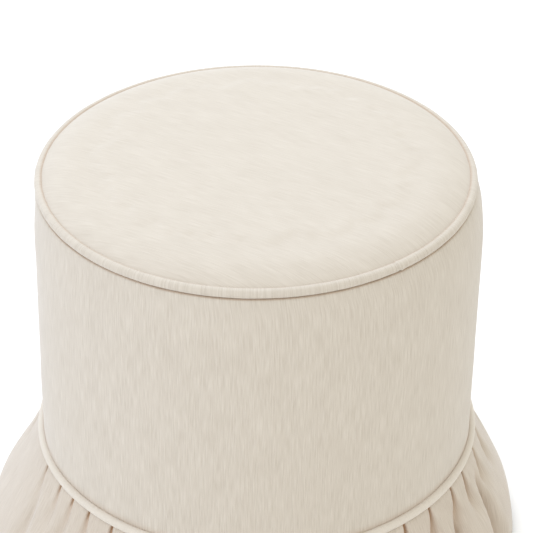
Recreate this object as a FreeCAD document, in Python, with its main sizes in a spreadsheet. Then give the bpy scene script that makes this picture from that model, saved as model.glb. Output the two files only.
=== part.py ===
import FreeCAD, Part
import Sketcher
import math
import os

# A round pouf: a plywood drum padded with foam and covered in velvet, with a crowned seat,
# a corded seam round the seat, and a gathered skirt hung from a second corded seam low on the side.
# Millimetres, +Z up. The origin is the middle of the footprint, on the floor.

# Driving dimensions: alias, value, meaning
SIZES = (
    ("board_radius", 196, "radius of the two plywood discs"),
    ("board_thickness", 15, "thickness of the two plywood discs"),
    ("post_count", 4, "posts between the discs"),
    ("post_azimuth", 45, "direction of the first post, degrees"),
    ("post_side", 38, "side of a square post"),
    ("post_length", 300, "length of a post"),
    ("post_inset", 4, "from the discs' edge to a post"),
    ("post_chamfer", 2, "chamfer along a post's edges"),
    ("panel_thickness", 3, "hardboard wall of the drum"),
    ("panel_joint", 2, "open butt joint in the hardboard wall"),
    ("side_foam_thickness", 9, "foam wrapped round the drum"),
    ("velvet_thickness", 1.6, "velvet with its backing"),
    ("layer_clearance", 0.2, "between layers wrapped round each other"),
    ("seam_clearance", 0.3, "between soft pieces that meet at a seam"),
    ("piping_diameter", 9, "velvet-covered cord in the seams"),
    ("seat_edge_height", 54, "from the top disc to the middle of the top piping"),
    ("pinched_foam", 3, "thickness that the velvet leaves of the side's foam at the top piping"),
    ("draw_in_height", 62, "height over which the side is drawn in"),
    ("seam_step", 0.8, "how far the top piping stands proud of the side's edge"),
    ("shoulder_rise", 20, "from the middle of the top piping to the end of the seat's shoulder"),
    ("shoulder_radius", 31, "rounding of the seat's shoulder"),
    ("crown_rise", 2, "rise of the seat from its shoulder to its middle"),
    ("seat_lip", 1.5, "height of the seat panel's upright edge above the middle of the piping"),
    ("seam_allowance", 3, "edge of the seat panel tucked in below the middle of the piping"),
    ("foam_chamfer", 5, "foam cut back beside the top piping"),
    ("turn_under", 22, "width of the side's velvet turned under the base"),
    ("dust_thickness", 0.6, "non-woven sheet under the base"),
    ("dust_margin", 8, "from the base's edge to the edge of the non-woven sheet"),
    ("dust_step", 4, "width over which the sheet steps down onto the turned velvet"),
    ("foot_count", 4, "block feet"),
    ("foot_height", 25.4, "height of a foot"),
    ("foot_side", 40, "side of a foot at the base"),
    ("foot_taper", 4, "how far each side of a foot slopes in towards the floor"),
    ("foot_margin", 2, "from a foot to the step in the non-woven sheet"),
    ("frame_screw_diameter", 4.5, "countersunk screws in the posts"),
    ("frame_screw_head", 8.5, "diameter of their heads"),
    ("frame_screw_length", 45, "length of these screws"),
    ("countersink_angle", 90, "angle across their heads, degrees"),
    ("foot_screw_diameter", 4, "pan-head screws in the feet"),
    ("foot_screw_head", 8, "diameter of their heads"),
    ("foot_screw_head_height", 3, "height of their heads"),
    ("foot_screw_length", 28, "length under their heads"),
    ("foot_counterbore", 9, "depth of the recess for a foot's screw head"),
    ("screw_clearance", 0.15, "between a screw and its hole"),
    ("screw_point", 6, "length of a screw's point"),
    ("skirt_line", 130, "from the floor to the middle of the lower piping"),
    ("cord_sink", 3, "how deep the lower piping is pressed into the side"),
    ("hem_height", 6, "from the floor to the hem"),
    ("front_gathers", 9, "folds across the front, from flank to flank"),
    ("back_gathers", 15, "folds across the back, from flank to flank"),
    ("gather_sway", 0.22, "how far a gather strays and leans, as a share of an even spacing"),
    ("gather_sway_turn", 137.5, "turn of that sway from one gather to the next, degrees"),
    ("lip_drop", 4, "from the skirt's top edge down to where its gathers stand out"),
    ("waist_drop", 35, "from the skirt's top edge down to its waist"),
    ("waist_reach", 21.5, "from the side to the ridges at the waist"),
    ("flank_drop", 75, "from the skirt's top edge down to its flank"),
    ("flank_reach", 39.5, "from the side to the ridges at the flank"),
    ("hem_reach", 49.5, "from the side to the ridges at the hem"),
    ("top_fold", 1.5, "depth of the folds at the skirt's top edge"),
    ("lip_fold", 3, "depth of the folds where the gathers stand out"),
    ("waist_fold", 16, "depth of the folds at the waist"),
    ("flank_fold", 24, "depth of the folds at the flank"),
    ("hem_fold", 25, "depth of the folds at the hem"),
    ("fold_wall", 30, "from the bottom of a long fold across to its ridge"),
    ("fold_roundness", 0.8, "how far a narrow fold stands out, as a share of half its width"),
    ("waist_merging", 0.6, "how far the short folds have run out into the long ones at the waist"),
    ("tack_strip_width", 12, "card strip behind the skirt's top edge"),
    ("tack_strip_thickness", 1.2, "thickness of the card strip"),
)

# Gathers on the skirt's two flanks: azimuth in degrees, the share of the full fold that is left at the hem,
# where 0 is a short fold that runs out into its neighbours, and how far the fold leans on its way there
LEFT_GATHERS = (
    (-205, 1, 0),
    (-187, 0, 0),
    (-159.9, 0.4, 2),
    (-150.6, 0, 0),
    (-144.1, 0.45, -1),
    (-137.2, 0, 0),
    (-128.9, 0.7, -2),
)
RIGHT_GATHERS = (
    (-49.8, 0, 0),
    (-40.5, 0.8, -1.5),
    (-30.3, 0.9, -2),
    (-22.9, 0, 0),
    (-11.9, 1, -4.5),
    (-2.4, 0, 0),
    (10, 0, 0),
    (23, 1, 0),
)

# Which of five gathers run down to the hem, across the front and the back
LONG_FOLDS = (1, 1, 0, 1, 0)

DOC = FreeCAD.newDocument("skirted_pouf")
SHEET = DOC.addObject("Spreadsheet::Sheet", "Sizes")
for row, (alias, number, meaning) in enumerate(SIZES, start=1):
    SHEET.set(f"A{row}", meaning)
    SHEET.set(f"B{row}", str(number))
    SHEET.setAlias(f"B{row}", alias)
DOC.recompute()


def size(alias):
    return SHEET.get(alias)


def value(expression):
    return float(SHEET.evalExpression(expression))


# Levels, from the floor up
BASE_BOTTOM = "(Sizes.foot_height + Sizes.dust_thickness)"
BASE_TOP = f"({BASE_BOTTOM} + Sizes.board_thickness)"
TOP_BOARD_BOTTOM = f"({BASE_TOP} + Sizes.post_length)"
TOP_BOARD_TOP = f"({TOP_BOARD_BOTTOM} + Sizes.board_thickness)"
TOP_SEAM = f"({TOP_BOARD_TOP} + Sizes.seat_edge_height)"
DRAW_IN_START = f"({TOP_SEAM} - Sizes.draw_in_height)"
SIDE_TOP = f"({TOP_SEAM} - Sizes.piping_diameter / 2)"
SKIRT_TOP = "(Sizes.skirt_line - Sizes.piping_diameter / 2 - Sizes.seam_clearance)"

# Radii, from the frame outwards
PANEL_INNER = "(Sizes.board_radius + Sizes.layer_clearance)"
PANEL_OUTER = f"({PANEL_INNER} + Sizes.panel_thickness)"
FOAM_INNER = f"({PANEL_OUTER} + Sizes.layer_clearance)"
FOAM_OUTER = f"({FOAM_INNER} + Sizes.side_foam_thickness)"
COVER_INNER = f"({FOAM_OUTER} + Sizes.layer_clearance)"
COVER_OUTER = f"({COVER_INNER} + Sizes.velvet_thickness)"
STRIP_INNER = f"({COVER_OUTER} + Sizes.layer_clearance)"
STRIP_OUTER = f"({STRIP_INNER} + Sizes.tack_strip_thickness)"
SIDE_TOP_OUTER = (
    f"({FOAM_INNER} + Sizes.pinched_foam + Sizes.layer_clearance + Sizes.velvet_thickness)"
)
TOP_PIPING = f"({SIDE_TOP_OUTER} + Sizes.seam_step - Sizes.piping_diameter / 2)"
LOWER_PIPING = f"({COVER_OUTER} + Sizes.piping_diameter / 2 - Sizes.cord_sink)"
POST_CIRCLE = "(Sizes.board_radius - Sizes.post_inset - Sizes.post_side / 2)"
TURN_UNDER_INNER = "(Sizes.board_radius - Sizes.turn_under)"
DUST_FLAT = f"({TURN_UNDER_INNER} - Sizes.dust_step)"
FOOT_CIRCLE = f"({DUST_FLAT} - Sizes.foot_margin - Sizes.foot_side / 2)"
PANEL_HEIGHT = f"({TOP_BOARD_TOP} - {BASE_BOTTOM})"
FRAME_SCREW_HOLE = "(Sizes.frame_screw_diameter / 2 + Sizes.screw_clearance)"
FOOT_SCREW_HOLE = "(Sizes.foot_screw_diameter / 2 + Sizes.screw_clearance)"

# The side's velvet is drawn in along an arc that starts upright
DRAW_IN_DEPTH = f"({COVER_OUTER} - {SIDE_TOP_OUTER})"
DRAW_IN_RUN = f"({SIDE_TOP} - {DRAW_IN_START})"
DRAW_IN_RADIUS = f"(({DRAW_IN_RUN} ^ 2 + {DRAW_IN_DEPTH} ^ 2) / (2 * {DRAW_IN_DEPTH}))"
SIDE_TOP_INNER = (
    f"({COVER_OUTER} - {DRAW_IN_RADIUS}"
    f" + sqrt(({DRAW_IN_RADIUS} - Sizes.velvet_thickness) ^ 2 - {DRAW_IN_RUN} ^ 2))"
)

# The lower piping lies in a groove that it presses into the side's velvet and foam
VELVET_GROOVE = "(Sizes.piping_diameter / 2 + Sizes.seam_clearance)"
BACK_GROOVE = f"({VELVET_GROOVE} + Sizes.velvet_thickness)"
FOAM_GROOVE = f"({BACK_GROOVE} + Sizes.layer_clearance)"

# The seat's shoulder is an arc that ends level, and the crown goes on from there to the middle
SEAT_EDGE = f"({TOP_PIPING} - Sizes.piping_diameter / 2 - Sizes.seam_clearance)"
SHOULDER_FOOT = f"({TOP_SEAM} + Sizes.seat_lip)"
SHOULDER_TOP = f"({TOP_SEAM} + Sizes.shoulder_rise)"
SHOULDER_DROP = "(Sizes.shoulder_radius - Sizes.shoulder_rise + Sizes.seat_lip)"
SHOULDER_CENTRE = f"({SEAT_EDGE} - sqrt(Sizes.shoulder_radius ^ 2 - {SHOULDER_DROP} ^ 2))"
CROWN_RADIUS = f"(({SHOULDER_CENTRE} ^ 2 + Sizes.crown_rise ^ 2) / (2 * Sizes.crown_rise))"


def shoulder_reach(under):
    """The radius of the shoulder's lower end, on an arc that lies under the velvet's face by a thickness."""
    return f"({SHOULDER_CENTRE} + sqrt((Sizes.shoulder_radius - {under}) ^ 2 - {SHOULDER_DROP} ^ 2))"


def groove_edges(groove, face):
    """The levels where a groove about the lower piping starts and ends on an upright face."""
    half = f"sqrt({groove} ^ 2 - ({LOWER_PIPING} - {face}) ^ 2)"
    return f"(Sizes.skirt_line - {half})", f"(Sizes.skirt_line + {half})"


def place(thing, x="0", y="0", z="0", azimuth="0", flipped=False):
    """Bind an object's position to expressions, and turn it about Z or flip it end over end."""
    axis = FreeCAD.Vector(1, 0, 0) if flipped else FreeCAD.Vector(0, 0, 1)
    angle = "180" if flipped else azimuth
    thing.Placement = FreeCAD.Placement(FreeCAD.Vector(), FreeCAD.Rotation(axis, value(angle)))
    thing.setExpression("Placement.Rotation.Angle", angle)
    for direction, expression in (("x", x), ("y", y), ("z", z)):
        thing.setExpression(f"Placement.Base.{direction}", expression)


def on_circle(radius, azimuth):
    """X and Y expressions of a point on a circle about the Z axis."""
    return f"{radius} * cos({azimuth} * 1 deg)", f"{radius} * sin({azimuth} * 1 deg)"


def new_body(label):
    body = DOC.addObject("PartDesign::Body", label)
    body.Label = label
    return body


def new_sketch(body, role, name, level=None):
    """A sketch on one of the body's own origin planes, raised to a level where one is given."""
    sketch = body.newObject("Sketcher::SketchObject", f"{body.Label}_{name}")
    plane = next(item for item in body.Origin.OriginFeatures if item.Role == role)
    sketch.AttachmentSupport = (plane, [""])
    sketch.MapMode = "FlatFace"
    if level:
        sketch.setExpression("AttachmentOffset.Base.z", level)
    return sketch


def bind(sketch, kind, places, expression):
    """Add a sketch dimension and tie it to an expression."""
    number = sketch.addConstraint(Sketcher.Constraint(kind, *places, value(expression)))
    sketch.setExpression(f"Constraints[{number}]", expression)


def pin_point(sketch, geometry, end, across, up):
    """Fix a point of a sketch by its distances from the origin. A distance of "0" puts it on the axis."""
    for kind, axis, expression in (("DistanceX", -2, across), ("DistanceY", -1, up)):
        if expression == "0":
            sketch.addConstraint(Sketcher.Constraint("PointOnObject", geometry, end, axis))
        else:
            bind(sketch, kind, (-1, 1, geometry, end), expression)


def add_circle(sketch, radius, across="0", up="0"):
    centre = FreeCAD.Vector(value(across), value(up), 0)
    circle = sketch.addGeometry(Part.Circle(centre, FreeCAD.Vector(0, 0, 1), value(radius)))
    bind(sketch, "Radius", (circle,), radius)
    pin_point(sketch, circle, 3, across, up)


def add_square(sketch, side):
    """A square about the sketch's origin."""
    half = value(side) / 2
    signs = ((-1, -1), (1, -1), (1, 1), (-1, 1))
    corners = [FreeCAD.Vector(half * across, half * up, 0) for across, up in signs]
    for start, end in zip(corners, corners[1:] + corners[:1]):
        sketch.addGeometry(Part.LineSegment(start, end))
    for edge in range(4):
        sketch.addConstraint(Sketcher.Constraint("Coincident", edge, 2, (edge + 1) % 4, 1))
    for edge, direction in enumerate(("Horizontal", "Vertical") * 2):
        sketch.addConstraint(Sketcher.Constraint(direction, edge))
    sketch.addConstraint(Sketcher.Constraint("Symmetric", 0, 1, 1, 2, -1, 1))
    bind(sketch, "DistanceX", (0, 1, 0, 2), side)
    bind(sketch, "DistanceY", (1, 1, 1, 2), side)


def arc_between(start, end, radius):
    """The short arc from start to end. It bulges to the right of the way it runs,
    or to the left for a negative radius."""
    chord = end.sub(start)
    left = FreeCAD.Vector(-chord.y, chord.x, 0).normalize()
    reach = math.copysign(math.sqrt(radius**2 - (chord.Length / 2) ** 2), radius)
    centre = start.add(end).multiply(0.5).add(left.multiply(reach))
    first, last = (start, end) if radius > 0 else (end, start)
    begin = math.atan2(first.y - centre.y, first.x - centre.x)
    sweep = 2 * math.asin(chord.Length / 2 / abs(radius))
    circle = Part.Circle(centre, FreeCAD.Vector(0, 0, 1), abs(radius))
    return Part.ArcOfCircle(circle, begin, begin + sweep)


def turned_body(label, outline):
    """A body turned about Z from a closed outline. Each corner is (radius, height),
    or (radius, height, arc radius) where an arc leads on to the next corner."""
    body = new_body(label)
    sketch = new_sketch(body, "XZ_Plane", "profile")
    corners = [FreeCAD.Vector(value(corner[0]), value(corner[1]), 0) for corner in outline]
    ends = []
    for edge, corner in enumerate(outline):
        start, end = corners[edge], corners[(edge + 1) % len(outline)]
        radius = value(corner[2]) if len(corner) > 2 else 0
        sketch.addGeometry(arc_between(start, end, radius) if radius else Part.LineSegment(start, end))
        ends.append((2, 1) if radius < 0 else (1, 2))
    for edge, (start_end, _) in enumerate(ends):
        before = (edge - 1) % len(ends)
        sketch.addConstraint(Sketcher.Constraint("Coincident", before, ends[before][1], edge, start_end))
        pin_point(sketch, edge, start_end, *outline[edge][:2])
        if len(outline[edge]) > 2:
            bind(sketch, "Radius", (edge,), f"abs({outline[edge][2]})")
    turn = body.newObject("PartDesign::Revolution", f"{label}_turn")
    turn.Profile = sketch
    turn.ReferenceAxis = (sketch, ["V_Axis"])
    turn.Angle = 360
    DOC.recompute()
    return body


def pad(body, sketch, length):
    feature = body.newObject("PartDesign::Pad", f"{body.Label}_pad")
    feature.Profile = sketch
    feature.setExpression("Length", length)
    DOC.recompute()
    return feature


def pocket(body, sketch, length, upwards):
    feature = body.newObject("PartDesign::Pocket", f"{sketch.Label}_pocket")
    feature.Profile = sketch
    feature.Reversed = upwards
    feature.setExpression("Length", length)
    DOC.recompute()
    return feature


def ring_of(body, feature, sketch, count):
    """Repeat a feature evenly round the Z axis."""
    pattern = body.newObject("PartDesign::PolarPattern", f"{feature.Label}_ring")
    pattern.Originals = [feature]
    pattern.Axis = (sketch, ["N_Axis"])
    pattern.Angle = 360
    pattern.setExpression("Occurrences", count)
    body.Tip = pattern
    DOC.recompute()


def new_cylinder(label, radius, height, level="0"):
    cylinder = DOC.addObject("Part::Cylinder", label)
    cylinder.setExpression("Radius", radius)
    cylinder.setExpression("Height", height)
    place(cylinder, z=level)
    return cylinder


def new_cone(label, lower_radius, upper_radius, height, level):
    cone = DOC.addObject("Part::Cone", label)
    cone.setExpression("Radius1", lower_radius)
    cone.setExpression("Radius2", upper_radius)
    cone.setExpression("Height", height)
    place(cone, z=level)
    return cone


def cut(label, base, tool):
    result = DOC.addObject("Part::Cut", label)
    result.Label = label
    result.Base = base
    result.Tool = tool
    return result


def join(label, shapes):
    result = DOC.addObject("Part::MultiFuse", label)
    result.Shapes = shapes
    return result


def group(label, solids):
    """Separate solids kept together as one piece."""
    result = DOC.addObject("Part::Compound", label)
    result.Label = label
    result.Links = solids
    return result


def countersunk_holes(body, level, upwards):
    """The frame screws' holes through a disc, countersunk on the side that they enter."""
    across, up = on_circle(POST_CIRCLE, "Sizes.post_azimuth")
    sketch = new_sketch(body, "XY_Plane", "screw_places", level)
    add_circle(sketch, "Sizes.frame_screw_diameter / 2", across, up)
    DOC.recompute()
    hole = body.newObject("PartDesign::Hole", f"{body.Label}_screw_hole")
    hole.Profile = sketch
    DOC.recompute()
    hole.ThreadType = "None"
    hole.DepthType = "ThroughAll"
    hole.Reversed = upwards
    hole.HoleCutType = "Countersink"
    hole.HoleCutCustomValues = True
    hole.setExpression("Diameter", "Sizes.frame_screw_diameter + 2 * Sizes.screw_clearance")
    hole.setExpression("HoleCutDiameter", "Sizes.frame_screw_head + 2 * Sizes.screw_clearance")
    hole.setExpression("HoleCutCountersinkAngle", "Sizes.countersink_angle")
    DOC.recompute()
    ring_of(body, hole, sketch, "Sizes.post_count")


def screw_holes(body, radius, circle, count, length):
    """A ring of plain holes for screws, the first on the X axis, cut upwards from the body's XY plane."""
    sketch = new_sketch(body, "XY_Plane", "screw_holes")
    add_circle(sketch, radius, across=circle)
    ring_of(body, pocket(body, sketch, length, upwards=True), sketch, count)


def make_board(label):
    """A plywood disc, with no holes yet."""
    body = new_body(label)
    sketch = new_sketch(body, "XY_Plane", "outline")
    add_circle(sketch, "Sizes.board_radius")
    pad(body, sketch, "Sizes.board_thickness")
    return body


def make_base_board():
    body = make_board("base_board")
    countersunk_holes(body, None, upwards=True)
    screw_holes(body, FOOT_SCREW_HOLE, FOOT_CIRCLE, "Sizes.foot_count", "Sizes.board_thickness")
    place(body, z=BASE_BOTTOM)
    return body


def make_top_board():
    body = make_board("top_board")
    countersunk_holes(body, "Sizes.board_thickness", upwards=False)
    place(body, z=TOP_BOARD_BOTTOM)
    return body


def make_frame_post(index):
    """A softwood post, chamfered along its length, drilled at both ends for the frame screws."""
    body = new_body(f"frame_post_{index + 1}")
    sketch = new_sketch(body, "XY_Plane", "section")
    add_square(sketch, "Sizes.post_side")
    block = pad(body, sketch, "Sizes.post_length")
    upright = [
        f"Edge{number}"
        for number, edge in enumerate(block.Shape.Edges, start=1)
        if edge.BoundBox.ZLength > edge.BoundBox.DiagonalLength / 2
    ]
    chamfer = body.newObject("PartDesign::Chamfer", f"{body.Label}_chamfer")
    chamfer.Base = (block, upright)
    chamfer.setExpression("Size", "Sizes.post_chamfer")
    DOC.recompute()
    depth = "Sizes.frame_screw_length - Sizes.board_thickness + Sizes.screw_clearance"
    for name, level, upwards in (("lower_end", None, True), ("upper_end", "Sizes.post_length", False)):
        end = new_sketch(body, "XY_Plane", name, level)
        add_circle(end, FRAME_SCREW_HOLE)
        pocket(body, end, depth, upwards)
    azimuth = f"(Sizes.post_azimuth + {index} * 360 / Sizes.post_count)"
    x, y = on_circle(POST_CIRCLE, azimuth)
    place(body, x, y, BASE_TOP, azimuth)
    return body


def make_side_panel():
    """Hardboard bent round both discs, with its butt joint at the back."""
    outer = new_cylinder("side_panel_outside", PANEL_OUTER, PANEL_HEIGHT)
    inner = new_cylinder("side_panel_inside", PANEL_INNER, PANEL_HEIGHT)
    ring = cut("side_panel_ring", outer, inner)
    joint = DOC.addObject("Part::Box", "side_panel_joint")
    joint.setExpression("Length", "Sizes.panel_joint")
    joint.setExpression("Width", PANEL_OUTER)
    joint.setExpression("Height", PANEL_HEIGHT)
    place(joint, x="-Sizes.panel_joint / 2")
    panel = cut("side_panel", ring, joint)
    place(panel, z=BASE_BOTTOM)
    return panel


def make_side_foam():
    """Sheet foam round the drum, thinned towards the top piping where the velvet draws it in."""
    top = f"({SIDE_TOP} - Sizes.foam_chamfer)"
    groove_foot, groove_head = groove_edges(FOAM_GROOVE, FOAM_OUTER)
    return turned_body(
        "side_foam",
        (
            (FOAM_INNER, BASE_BOTTOM),
            (FOAM_OUTER, BASE_BOTTOM),
            (FOAM_OUTER, groove_foot, f"-{FOAM_GROOVE}"),
            (FOAM_OUTER, groove_head),
            (FOAM_OUTER, DRAW_IN_START),
            (f"({SIDE_TOP_INNER} - Sizes.layer_clearance)", top),
            (FOAM_INNER, top),
        ),
    )


def make_seat_foam():
    """The seat's foam pad, crowned like the velvet over it, with a corner cut off under the piping."""
    under = "(Sizes.velvet_thickness + Sizes.seam_clearance)"
    edge = shoulder_reach(under)
    tuck = f"({TOP_SEAM} - Sizes.seam_allowance - Sizes.seam_clearance)"
    return turned_body(
        "seat_foam",
        (
            ("0", TOP_BOARD_TOP),
            (PANEL_OUTER, TOP_BOARD_TOP),
            (PANEL_OUTER, f"({tuck} - Sizes.foam_chamfer)"),
            (edge, tuck),
            (edge, SHOULDER_FOOT, f"(Sizes.shoulder_radius - {under})"),
            (SHOULDER_CENTRE, f"({SHOULDER_TOP} - {under})", CROWN_RADIUS),
            ("0", f"({SHOULDER_TOP} + Sizes.crown_rise - {under})"),
        ),
    )


def make_seat_cover():
    """The velvet seat panel: an upright edge behind the piping, a round shoulder and a low crown."""
    thickness = "Sizes.velvet_thickness"
    outer, inner = shoulder_reach("0"), shoulder_reach(thickness)
    tuck = f"({TOP_SEAM} - Sizes.seam_allowance)"
    crown = f"({SHOULDER_TOP} + Sizes.crown_rise)"
    return turned_body(
        "seat_cover",
        (
            (inner, tuck),
            (outer, tuck),
            (outer, SHOULDER_FOOT, "Sizes.shoulder_radius"),
            (SHOULDER_CENTRE, SHOULDER_TOP, CROWN_RADIUS),
            ("0", crown),
            ("0", f"({crown} - {thickness})", f"-{CROWN_RADIUS}"),
            (SHOULDER_CENTRE, f"({SHOULDER_TOP} - {thickness})", f"-(Sizes.shoulder_radius - {thickness})"),
            (inner, SHOULDER_FOOT),
        ),
    )


def make_side_cover():
    """The velvet side: turned under the base, straight up past the lower piping's groove, then drawn in
    to the top piping."""
    thickness = "Sizes.velvet_thickness"
    below = f"({BASE_BOTTOM} - {thickness})"
    groove_foot, groove_head = groove_edges(VELVET_GROOVE, COVER_OUTER)
    back_foot, back_head = groove_edges(BACK_GROOVE, COVER_INNER)
    return turned_body(
        "side_cover",
        (
            (TURN_UNDER_INNER, below),
            (COVER_OUTER, below),
            (COVER_OUTER, groove_foot, f"-{VELVET_GROOVE}"),
            (COVER_OUTER, groove_head),
            (COVER_OUTER, DRAW_IN_START, DRAW_IN_RADIUS),
            (SIDE_TOP_OUTER, SIDE_TOP),
            (SIDE_TOP_INNER, SIDE_TOP, f"-({DRAW_IN_RADIUS} - {thickness})"),
            (COVER_INNER, DRAW_IN_START),
            (COVER_INNER, back_head, BACK_GROOVE),
            (COVER_INNER, back_foot),
            (COVER_INNER, BASE_BOTTOM),
            (TURN_UNDER_INNER, BASE_BOTTOM),
        ),
    )


def make_piping(label, radius, level):
    """A cord covered in velvet, sewn into a seam all the way round."""
    ring = DOC.addObject("Part::Torus", label)
    ring.Label = label
    ring.setExpression("Radius1", radius)
    ring.setExpression("Radius2", "Sizes.piping_diameter / 2")
    place(ring, z=level)
    return ring


def make_tack_strip():
    """The card strip that the skirt's top edge is nailed under."""
    outer = new_cylinder("tack_strip_outside", STRIP_OUTER, "Sizes.tack_strip_width")
    inner = new_cylinder("tack_strip_inside", STRIP_INNER, "Sizes.tack_strip_width")
    strip = cut("tack_strip", outer, inner)
    place(strip, z=f"{SKIRT_TOP} - Sizes.tack_strip_width")
    return strip


def gathers_between(start, end, count):
    """Gathers between two azimuths in degrees, with a sway in their spacing, depth and lean."""
    step = (end - start) / count
    found = []
    for number in range(1, count):
        turn = math.radians(size("gather_sway_turn") * number)
        sway, lean = size("gather_sway") * math.sin(turn), size("gather_sway") * math.cos(turn)
        share = LONG_FOLDS[number % len(LONG_FOLDS)] * (1 - abs(sway))
        found.append((start + step * (number + sway), share, step * lean))
    return found


def gathers(merged):
    """All gathers in order round the skirt: azimuth in radians, and the share of the fold left at the hem.
    The long ones lean as far as the short ones have merged into them."""
    front = gathers_between(LEFT_GATHERS[-1][0], RIGHT_GATHERS[0][0], int(size("front_gathers")))
    back = gathers_between(RIGHT_GATHERS[-1][0], LEFT_GATHERS[0][0] + 360, int(size("back_gathers")))
    found = []
    for azimuth, share, lean in (*LEFT_GATHERS, *front, *RIGHT_GATHERS, *back):
        leaning = lean * merged if share else 0
        found.append((math.radians(azimuth + leaning), share))
    return found


def polar(radius, azimuth, height):
    return FreeCAD.Vector(radius * math.cos(azimuth), radius * math.sin(azimuth), height)


def skirt_line(height, ridge, fold, merged):
    """A closed line round the skirt: one outward arc for each fold, from gather to gather.
    The short folds run out into the long ones as far as they are merged."""
    places = gathers(merged)

    def depth(azimuth, short_fold):
        """How far the skirt lies inside its ridges, from a short fold's depth and the long folds near by."""
        long_fold = 0
        for other, share in places:
            away = abs((azimuth - other + math.pi) % math.tau - math.pi)
            near = max(0, 1 - ridge * away / size("fold_wall"))
            long_fold = max(long_fold, share * near**2)
        return fold * ((1 - merged) * short_fold + merged * long_fold)

    azimuths = [azimuth for azimuth, _ in places]
    arcs = []
    for start, end in zip(azimuths, azimuths[1:] + [azimuths[0] + math.tau]):
        middle, half_width = (start + end) / 2, ridge * (end - start) / 2
        feet = depth(start, 1), depth(end, 1)
        top = max(depth(middle, 0), min(feet) - size("fold_roundness") * half_width)
        points = [
            polar(ridge - inset, azimuth, height)
            for azimuth, inset in ((start, feet[0]), (middle, top), (end, feet[1]))
        ]
        arcs.append(Part.Arc(*points).toShape())
    return Part.Wire(arcs)


def skirt_ring():
    """The gathered skirt, lofted from its seam out under the piping and down to the hem.
    The velvet lies double where it is pinched."""
    side = value(COVER_OUTER)
    top = value(SKIRT_TOP)
    thickness = size("velvet_thickness")
    seated = value(STRIP_OUTER) + size("seam_clearance") + 2 * thickness
    levels = (
        (top, seated + size("top_fold"), size("top_fold"), 0),
        (top - size("lip_drop"), seated + size("lip_fold"), size("lip_fold"), 0),
        (top - size("waist_drop"), side + size("waist_reach"), size("waist_fold"), size("waist_merging")),
        (top - size("flank_drop"), side + size("flank_reach"), size("flank_fold"), 1),
        (size("hem_height"), side + size("hem_reach"), size("hem_fold"), 1),
    )
    outside = [skirt_line(height, ridge, fold, merged) for height, ridge, fold, merged in levels]
    inside = [
        skirt_line(height, ridge - thickness, fold + thickness, merged)
        for height, ridge, fold, merged in levels
    ]
    filled, ruled = True, True
    return Part.makeLoft(outside, filled, ruled).cut(Part.makeLoft(inside, filled, ruled))


def make_skirt_strip(index):
    """One of the two strips that the skirt is joined from, with a joint on each side of the pouf."""
    reach = value(COVER_OUTER) + size("hem_reach")
    corner = FreeCAD.Vector(-reach, size("seam_clearance") / 2, 0)
    half = Part.makeBox(2 * reach, reach, value(SKIRT_TOP), corner)
    half.rotate(FreeCAD.Vector(), FreeCAD.Vector(0, 0, 1), 180 * index)
    strip = DOC.addObject("Part::Feature", f"skirt_strip_{index + 1}")
    strip.Label = f"skirt_strip_{index + 1}"
    strip.Shape = skirt_ring().common(half)
    strip.Placement = FreeCAD.Placement()
    return strip


def make_dust_cover():
    """Non-woven sheet on the underside, stepping down over the velvet that is turned under."""
    edge = "(Sizes.board_radius - Sizes.dust_margin)"
    thickness, step = "Sizes.dust_thickness", "Sizes.velvet_thickness"
    brink = f"({TURN_UNDER_INNER} - Sizes.seam_clearance)"
    body = turned_body(
        "dust_cover",
        (
            ("0", f"{BASE_BOTTOM} - {thickness}"),
            (DUST_FLAT, f"{BASE_BOTTOM} - {thickness}"),
            (brink, f"{BASE_BOTTOM} - {thickness} - {step}"),
            (edge, f"{BASE_BOTTOM} - {thickness} - {step}"),
            (edge, f"{BASE_BOTTOM} - {step}"),
            (brink, f"{BASE_BOTTOM} - {step}"),
            (DUST_FLAT, BASE_BOTTOM),
            ("0", BASE_BOTTOM),
        ),
    )
    screw_holes(body, FOOT_SCREW_HOLE, FOOT_CIRCLE, "Sizes.foot_count", BASE_BOTTOM)
    return body


def make_foot(index):
    """A tapered block foot with a recess for its screw."""
    body = new_body(f"foot_{index + 1}")
    floor = new_sketch(body, "XY_Plane", "floor")
    add_square(floor, "(Sizes.foot_side - 2 * Sizes.foot_taper)")
    block = pad(body, floor, "Sizes.foot_height")
    block.setExpression("TaperAngle", "atan(Sizes.foot_taper / Sizes.foot_height)")
    DOC.recompute()
    for name, radius, depth in (
        ("screw_hole", FOOT_SCREW_HOLE, "Sizes.foot_height"),
        ("head_recess", "(Sizes.foot_screw_head / 2 + Sizes.screw_clearance)", "Sizes.foot_counterbore"),
    ):
        sketch = new_sketch(body, "XY_Plane", name)
        add_circle(sketch, radius)
        pocket(body, sketch, depth, upwards=True)
    azimuth = f"({index} * 360 / Sizes.foot_count)"
    x, y = on_circle(FOOT_CIRCLE, azimuth)
    place(body, x, y, "0", azimuth)
    return body


def frame_screw(label):
    """A countersunk screw that points down, with the top of its head at the origin."""
    shank = "(Sizes.frame_screw_diameter / 2)"
    head = "(Sizes.frame_screw_head / 2)"
    sunk = f"(({head} - {shank}) / tan(Sizes.countersink_angle / 2 * 1 deg))"
    straight = f"(Sizes.frame_screw_length - {sunk} - Sizes.screw_point)"
    return join(
        label,
        [
            new_cone(f"{label}_head", shank, head, sunk, f"-{sunk}"),
            new_cylinder(f"{label}_shank", shank, straight, f"-({sunk} + {straight})"),
            new_cone(f"{label}_point", "0", shank, "Sizes.screw_point", "-Sizes.frame_screw_length"),
        ],
    )


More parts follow.
